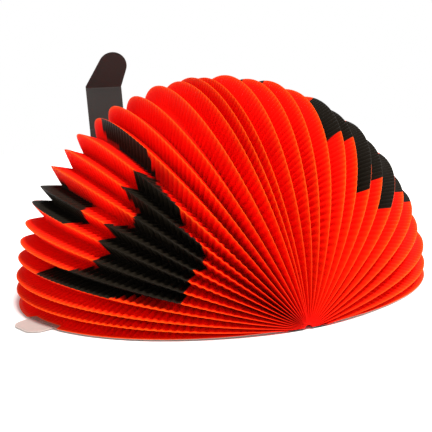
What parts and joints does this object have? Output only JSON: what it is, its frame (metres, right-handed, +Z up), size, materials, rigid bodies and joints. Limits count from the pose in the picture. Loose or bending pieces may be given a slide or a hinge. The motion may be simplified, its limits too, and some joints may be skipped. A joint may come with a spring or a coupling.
{
  "type": "accordion paper lantern",
  "caption": "Half-open accordion paper lantern: crimped paper pleats that fan about one line between two half-round card covers, with a card strap.",
  "frame": {"origin": "bottom centre of the whole lantern's box, on the surface it stands on", "axes": "+Z up, +Y along the fold line from the near pole to the far pole, +X towards the moving cover"},
  "size_m": [0.2502, 0.2532, 0.1581],
  "materials": {
    "lantern_paper": "matt, crimped, red-orange with black printing",
    "cover_card": "grey board, uncoated",
    "pale_card": "pale uncoated board",
    "black_card": "black, slightly glossy",
    "staple_wire": "galvanised wire",
    "thread": "cotton thread"
  },
  "bodies": {
    "left_cover": {"left_cover": "cover_card", "strap_foot": "black_card", "strap_staples": "staple_wire", "near_thread": "thread", "far_thread": "thread"},
    "right_cover": {"right_cover": "cover_card"},
    "pleat_01": {"pleat_01": "lantern_paper"},
    "pleat_02": {"pleat_02": "lantern_paper"},
    "pleat_03": {"pleat_03": "lantern_paper"},
    "pleat_04": {"pleat_04": "lantern_paper"},
    "pleat_05": {"pleat_05": "lantern_paper"},
    "pleat_06": {"pleat_06": "lantern_paper"},
    "pleat_07": {"pleat_07": "lantern_paper"},
    "pleat_08": {"pleat_08": "lantern_paper"},
    "pleat_09": {"pleat_09": "lantern_paper"},
    "pleat_10": {"pleat_10": "lantern_paper"},
    "pleat_11": {"pleat_11": "lantern_paper"},
    "pleat_12": {"pleat_12": "lantern_paper"},
    "pleat_13": {"pleat_13": "lantern_paper"},
    "pleat_14": {"pleat_14": "lantern_paper"},
    "pleat_15": {"pleat_15": "lantern_paper"},
    "seam_pleat": {"seam_pleat": "lantern_paper"},
    "pleat_16": {"pleat_16": "lantern_paper"},
    "pleat_17": {"pleat_17": "lantern_paper"},
    "pleat_18": {"pleat_18": "lantern_paper"},
    "pleat_19": {"pleat_19": "lantern_paper"},
    "pleat_20": {"pleat_20": "lantern_paper"},
    "pleat_21": {"pleat_21": "lantern_paper"},
    "pleat_22": {"pleat_22": "lantern_paper"},
    "pleat_23": {"pleat_23": "lantern_paper"},
    "pleat_24": {"pleat_24": "lantern_paper"},
    "pleat_25": {"pleat_25": "lantern_paper"},
    "pleat_26": {"pleat_26": "lantern_paper"},
    "pleat_27": {"pleat_27": "lantern_paper"},
    "pleat_28": {"pleat_28": "lantern_paper"},
    "pleat_29": {"pleat_29": "lantern_paper"},
    "pleat_30": {"pleat_30": "lantern_paper"},
    "locking_tongue": {"locking_tongue": "pale_card"},
    "strap_leg": {"strap_leg": "black_card"},
    "strap_bridge": {"strap_bridge": "black_card"},
    "strap_tip": {"strap_tip": "black_card"}
  },
  "joints": [
    {"name": "fan_open", "type": "hinge", "parent": "left_cover", "child": "right_cover", "pos_m": [0.00041, -0.00234, -0.0001], "axis": [0, 1, 0], "range_deg": [-161, 176]},
    {"name": "pleat_01_turn", "type": "hinge", "parent": "left_cover", "child": "pleat_01", "pos_m": [0.00041, -0.00234, -0.0001], "axis": [0, 1, 0], "range_deg": [-0.42, 0.45727]},
    {"name": "pleat_02_turn", "type": "hinge", "parent": "left_cover", "child": "pleat_02", "pos_m": [0.00041, -0.00234, -0.0001], "axis": [0, 1, 0], "range_deg": [-3.98, 4.35]},
    {"name": "pleat_03_turn", "type": "hinge", "parent": "left_cover", "child": "pleat_03", "pos_m": [0.00041, -0.00234, -0.0001], "axis": [0, 1, 0], "range_deg": [-7.97, 8.71]},
    {"name": "pleat_04_turn", "type": "hinge", "parent": "left_cover", "child": "pleat_04", "pos_m": [0.00041, -0.00234, -0.0001], "axis": [0, 1, 0], "range_deg": [-12.33, 13.47]},
    {"name": "pleat_05_turn", "type": "hinge", "parent": "left_cover", "child": "pleat_05", "pos_m": [0.00041, -0.00234, -0.0001], "axis": [0, 1, 0], "range_deg": [-16.97, 18.55]},
    {"name": "pleat_06_turn", "type": "hinge", "parent": "left_cover", "child": "pleat_06", "pos_m": [0.00041, -0.00234, -0.0001], "axis": [0, 1, 0], "range_deg": [-21.86, 23.89]},
    {"name": "pleat_07_turn", "type": "hinge", "parent": "left_cover", "child": "pleat_07", "pos_m": [0.00041, -0.00234, -0.0001], "axis": [0, 1, 0], "range_deg": [-26.94, 29.45]},
    {"name": "pleat_08_turn", "type": "hinge", "parent": "left_cover", "child": "pleat_08", "pos_m": [0.00041, -0.00234, -0.0001], "axis": [0, 1, 0], "range_deg": [-32.18, 35.18]},
    {"name": "pleat_09_turn", "type": "hinge", "parent": "left_cover", "child": "pleat_09", "pos_m": [0.00041, -0.00234, -0.0001], "axis": [0, 1, 0], "range_deg": [-37.56, 41.05]},
    {"name": "pleat_10_turn", "type": "hinge", "parent": "left_cover", "child": "pleat_10", "pos_m": [0.00041, -0.00234, -0.0001], "axis": [0, 1, 0], "range_deg": [-43.04, 47.05]},
    {"name": "pleat_11_turn", "type": "hinge", "parent": "left_cover", "child": "pleat_11", "pos_m": [0.00041, -0.00234, -0.0001], "axis": [0, 1, 0], "range_deg": [-48.61, 53.13]},
    {"name": "pleat_12_turn", "type": "hinge", "parent": "left_cover", "child": "pleat_12", "pos_m": [0.00041, -0.00234, -0.0001], "axis": [0, 1, 0], "range_deg": [-54.25, 59.3]},
    {"name": "pleat_13_turn", "type": "hinge", "parent": "left_cover", "child": "pleat_13", "pos_m": [0.00041, -0.00234, -0.0001], "axis": [0, 1, 0], "range_deg": [-59.95, 65.54]},
    {"name": "pleat_14_turn", "type": "hinge", "parent": "left_cover", "child": "pleat_14", "pos_m": [0.00041, -0.00234, -0.0001], "axis": [0, 1, 0], "range_deg": [-65.7, 71.82]},
    {"name": "pleat_15_turn", "type": "hinge", "parent": "left_cover", "child": "pleat_15", "pos_m": [0.00041, -0.00234, -0.0001], "axis": [0, 1, 0], "range_deg": [-71.49, 78.15]},
    {"name": "seam_pleat_turn", "type": "hinge", "parent": "left_cover", "child": "seam_pleat", "pos_m": [0.00041, -0.00234, -0.0001], "axis": [0, 1, 0], "range_deg": [-74.52, 81.47]},
    {"name": "pleat_16_turn", "type": "hinge", "parent": "left_cover", "child": "pleat_16", "pos_m": [0.00041, -0.00234, -0.0001], "axis": [0, 1, 0], "range_deg": [-77.57, 84.8]},
    {"name": "pleat_17_turn", "type": "hinge", "parent": "left_cover", "child": "pleat_17", "pos_m": [0.00041, -0.00234, -0.0001], "axis": [0, 1, 0], "range_deg": [-83.44, 91.22]},
    {"name": "pleat_18_turn", "type": "hinge", "parent": "left_cover", "child": "pleat_18", "pos_m": [0.00041, -0.00234, -0.0001], "axis": [0, 1, 0], "range_deg": [-89.33, 97.65]},
    {"name": "pleat_19_turn", "type": "hinge", "parent": "left_cover", "child": "pleat_19", "pos_m": [0.00041, -0.00234, -0.0001], "axis": [0, 1, 0], "range_deg": [-95.23, 104.1]},
    {"name": "pleat_20_turn", "type": "hinge", "parent": "left_cover", "child": "pleat_20", "pos_m": [0.00041, -0.00234, -0.0001], "axis": [0, 1, 0], "range_deg": [-101.15, 110.57]},
    {"name": "pleat_21_turn", "type": "hinge", "parent": "left_cover", "child": "pleat_21", "pos_m": [0.00041, -0.00234, -0.0001], "axis": [0, 1, 0], "range_deg": [-107.07, 117.05]},
    {"name": "pleat_22_turn", "type": "hinge", "parent": "left_cover", "child": "pleat_22", "pos_m": [0.00041, -0.00234, -0.0001], "axis": [0, 1, 0], "range_deg": [-113, 123.53]},
    {"name": "pleat_23_turn", "type": "hinge", "parent": "left_cover", "child": "pleat_23", "pos_m": [0.00041, -0.00234, -0.0001], "axis": [0, 1, 0], "range_deg": [-118.94, 130.02]},
    {"name": "pleat_24_turn", "type": "hinge", "parent": "left_cover", "child": "pleat_24", "pos_m": [0.00041, -0.00234, -0.0001], "axis": [0, 1, 0], "range_deg": [-124.89, 136.52]},
    {"name": "pleat_25_turn", "type": "hinge", "parent": "left_cover", "child": "pleat_25", "pos_m": [0.00041, -0.00234, -0.0001], "axis": [0, 1, 0], "range_deg": [-130.84, 143.02]},
    {"name": "pleat_26_turn", "type": "hinge", "parent": "left_cover", "child": "pleat_26", "pos_m": [0.00041, -0.00234, -0.0001], "axis": [0, 1, 0], "range_deg": [-136.79, 149.53]},
    {"name": "pleat_27_turn", "type": "hinge", "parent": "left_cover", "child": "pleat_27", "pos_m": [0.00041, -0.00234, -0.0001], "axis": [0, 1, 0], "range_deg": [-142.74, 156.04]},
    {"name": "pleat_28_turn", "type": "hinge", "parent": "left_cover", "child": "pleat_28", "pos_m": [0.00041, -0.00234, -0.0001], "axis": [0, 1, 0], "range_deg": [-148.7, 162.55]},
    {"name": "pleat_29_turn", "type": "hinge", "parent": "left_cover", "child": "pleat_29", "pos_m": [0.00041, -0.00234, -0.0001], "axis": [0, 1, 0], "range_deg": [-154.66, 169.07]},
    {"name": "pleat_30_turn", "type": "hinge", "parent": "left_cover", "child": "pleat_30", "pos_m": [0.00041, -0.00234, -0.0001], "axis": [0, 1, 0], "range_deg": [-160.62, 175.58]},
    {"name": "tongue_fold", "type": "hinge", "parent": "left_cover", "child": "locking_tongue", "pos_m": [-0.11134, -0.04978, 0.0003], "axis": [-0.3907, 0.9205, 0], "range_deg": [-90, 60]},
    {"name": "strap_leg_fold", "type": "hinge", "parent": "left_cover", "child": "strap_leg", "pos_m": [-0.04409, 0.12626, 0.0006], "axis": [1, 0, 0], "range_deg": [-90, 0]},
    {"name": "strap_bridge_fold", "type": "hinge", "parent": "strap_leg", "child": "strap_bridge", "pos_m": [-0.04409, 0.12626, 0.101], "axis": [1, 0, 0], "range_deg": [-30, 45]},
    {"name": "strap_tip_fold", "type": "hinge", "parent": "strap_bridge", "child": "strap_tip", "pos_m": [-0.04409, 0.12626, 0.1328], "axis": [1, 0, 0], "range_deg": [-28, 60]}
  ],
  "couplings": [
    {"joint": "pleat_01_turn", "follows": "fan_open", "ratio": 0.0024845},
    {"joint": "pleat_02_turn", "follows": "fan_open", "ratio": 0.024587},
    {"joint": "pleat_03_turn", "follows": "fan_open", "ratio": 0.049402},
    {"joint": "pleat_04_turn", "follows": "fan_open", "ratio": 0.076439},
    {"joint": "pleat_05_turn", "follows": "fan_open", "ratio": 0.10529},
    {"joint": "pleat_06_turn", "follows": "fan_open", "ratio": 0.13564},
    {"joint": "pleat_07_turn", "follows": "fan_open", "ratio": 0.1672},
    {"joint": "pleat_08_turn", "follows": "fan_open", "ratio": 0.19977},
    {"joint": "pleat_09_turn", "follows": "fan_open", "ratio": 0.23314},
    {"joint": "pleat_10_turn", "follows": "fan_open", "ratio": 0.26719},
    {"joint": "pleat_11_turn", "follows": "fan_open", "ratio": 0.30179},
    {"joint": "pleat_12_turn", "follows": "fan_open", "ratio": 0.33683},
    {"joint": "pleat_13_turn", "follows": "fan_open", "ratio": 0.37224},
    {"joint": "pleat_14_turn", "follows": "fan_open", "ratio": 0.40796},
    {"joint": "pleat_15_turn", "follows": "fan_open", "ratio": 0.44392},
    {"joint": "seam_pleat_turn", "follows": "fan_open", "ratio": 0.46276},
    {"joint": "pleat_16_turn", "follows": "fan_open", "ratio": 0.48169},
    {"joint": "pleat_17_turn", "follows": "fan_open", "ratio": 0.51815},
    {"joint": "pleat_18_turn", "follows": "fan_open", "ratio": 0.55473},
    {"joint": "pleat_19_turn", "follows": "fan_open", "ratio": 0.59139},
    {"joint": "pleat_20_turn", "follows": "fan_open", "ratio": 0.62812},
    {"joint": "pleat_21_turn", "follows": "fan_open", "ratio": 0.66492},
    {"joint": "pleat_22_turn", "follows": "fan_open", "ratio": 0.70176},
    {"joint": "pleat_23_turn", "follows": "fan_open", "ratio": 0.73865},
    {"joint": "pleat_24_turn", "follows": "fan_open", "ratio": 0.77557},
    {"joint": "pleat_25_turn", "follows": "fan_open", "ratio": 0.81252},
    {"joint": "pleat_26_turn", "follows": "fan_open", "ratio": 0.84949},
    {"joint": "pleat_27_turn", "follows": "fan_open", "ratio": 0.88647},
    {"joint": "pleat_28_turn", "follows": "fan_open", "ratio": 0.92348},
    {"joint": "pleat_29_turn", "follows": "fan_open", "ratio": 0.96049},
    {"joint": "pleat_30_turn", "follows": "fan_open", "ratio": 0.99752}
  ]
}
